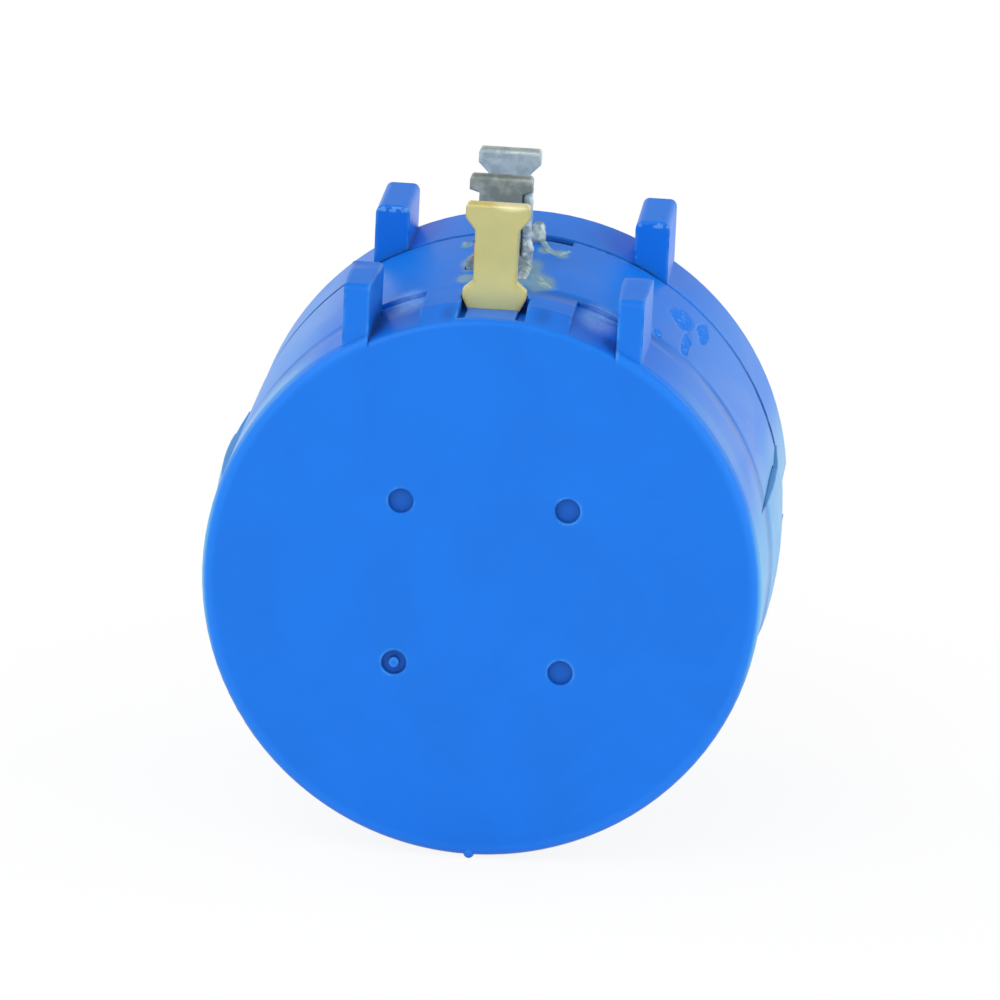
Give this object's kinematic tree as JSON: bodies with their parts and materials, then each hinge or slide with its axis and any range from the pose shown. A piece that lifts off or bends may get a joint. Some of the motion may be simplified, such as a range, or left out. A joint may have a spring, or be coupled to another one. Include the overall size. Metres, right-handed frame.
{
  "type": "multiturn potentiometer",
  "caption": "Panel-mounted multiturn wirewound potentiometer: round moulded snap-together case, threaded bushing, slotted shaft and solder lugs between guard posts.",
  "frame": {"origin": "centre of the mounting face, on the shaft's axis", "axes": "+Y along the shaft, out of the mounting face; +Z towards the solder lugs; the rear face looks to -Y"},
  "size_m": [0.0228, 0.0397, 0.0261],
  "materials": {
    "case_plastic": "bright blue moulded glass-filled plastic, fine satin",
    "nickel_plate": "nickel-plated brass, turned",
    "shaft_steel": "stainless steel, ground",
    "spring_steel": "plain spring steel",
    "inner_plastic": "ivory moulded bearing plastic",
    "black_plastic": "black moulded bearing plastic",
    "gold_plate": "thin gold flash, dulled",
    "tin_plate": "tinned brass, dulled",
    "resistance_wire": "fine bare resistance wire wound on an enamelled rod"
  },
  "bodies": {
    "case": {"rear_cup": "case_plastic", "front_lid": "case_plastic", "bushing": "nickel_plate", "thrust_washer": "inner_plastic", "element_coil": "resistance_wire", "ccw_end_strap": "tin_plate", "cw_end_strap": "tin_plate", "wiper_brush": "gold_plate", "wiper_terminal": "gold_plate", "ccw_terminal": "tin_plate", "cw_terminal": "tin_plate"},
    "shaft_group": {"shaft": "shaft_steel", "retaining_ring": "spring_steel", "spring_washer": "spring_steel", "rotor": "inner_plastic", "slip_disc": "gold_plate", "collector_bar": "gold_plate"},
    "wiper_group": {"wiper_carriage": "black_plastic", "wiper_contact": "gold_plate"}
  },
  "joints": [
    {"name": "shaft_turn", "type": "hinge", "parent": "case", "child": "shaft_group", "pos_m": [0, 0, 0], "axis": [0, -1, 0], "range_deg": [0, 3600]},
    {"name": "wiper_travel", "type": "slide", "parent": "shaft_group", "child": "wiper_group", "axis": [0, 1, 0], "range_m": [0, 0.01]}
  ],
  "couplings": [
    {"joint": "wiper_travel", "follows": "shaft_turn", "m_per_rad": 0.00015915}
  ]
}
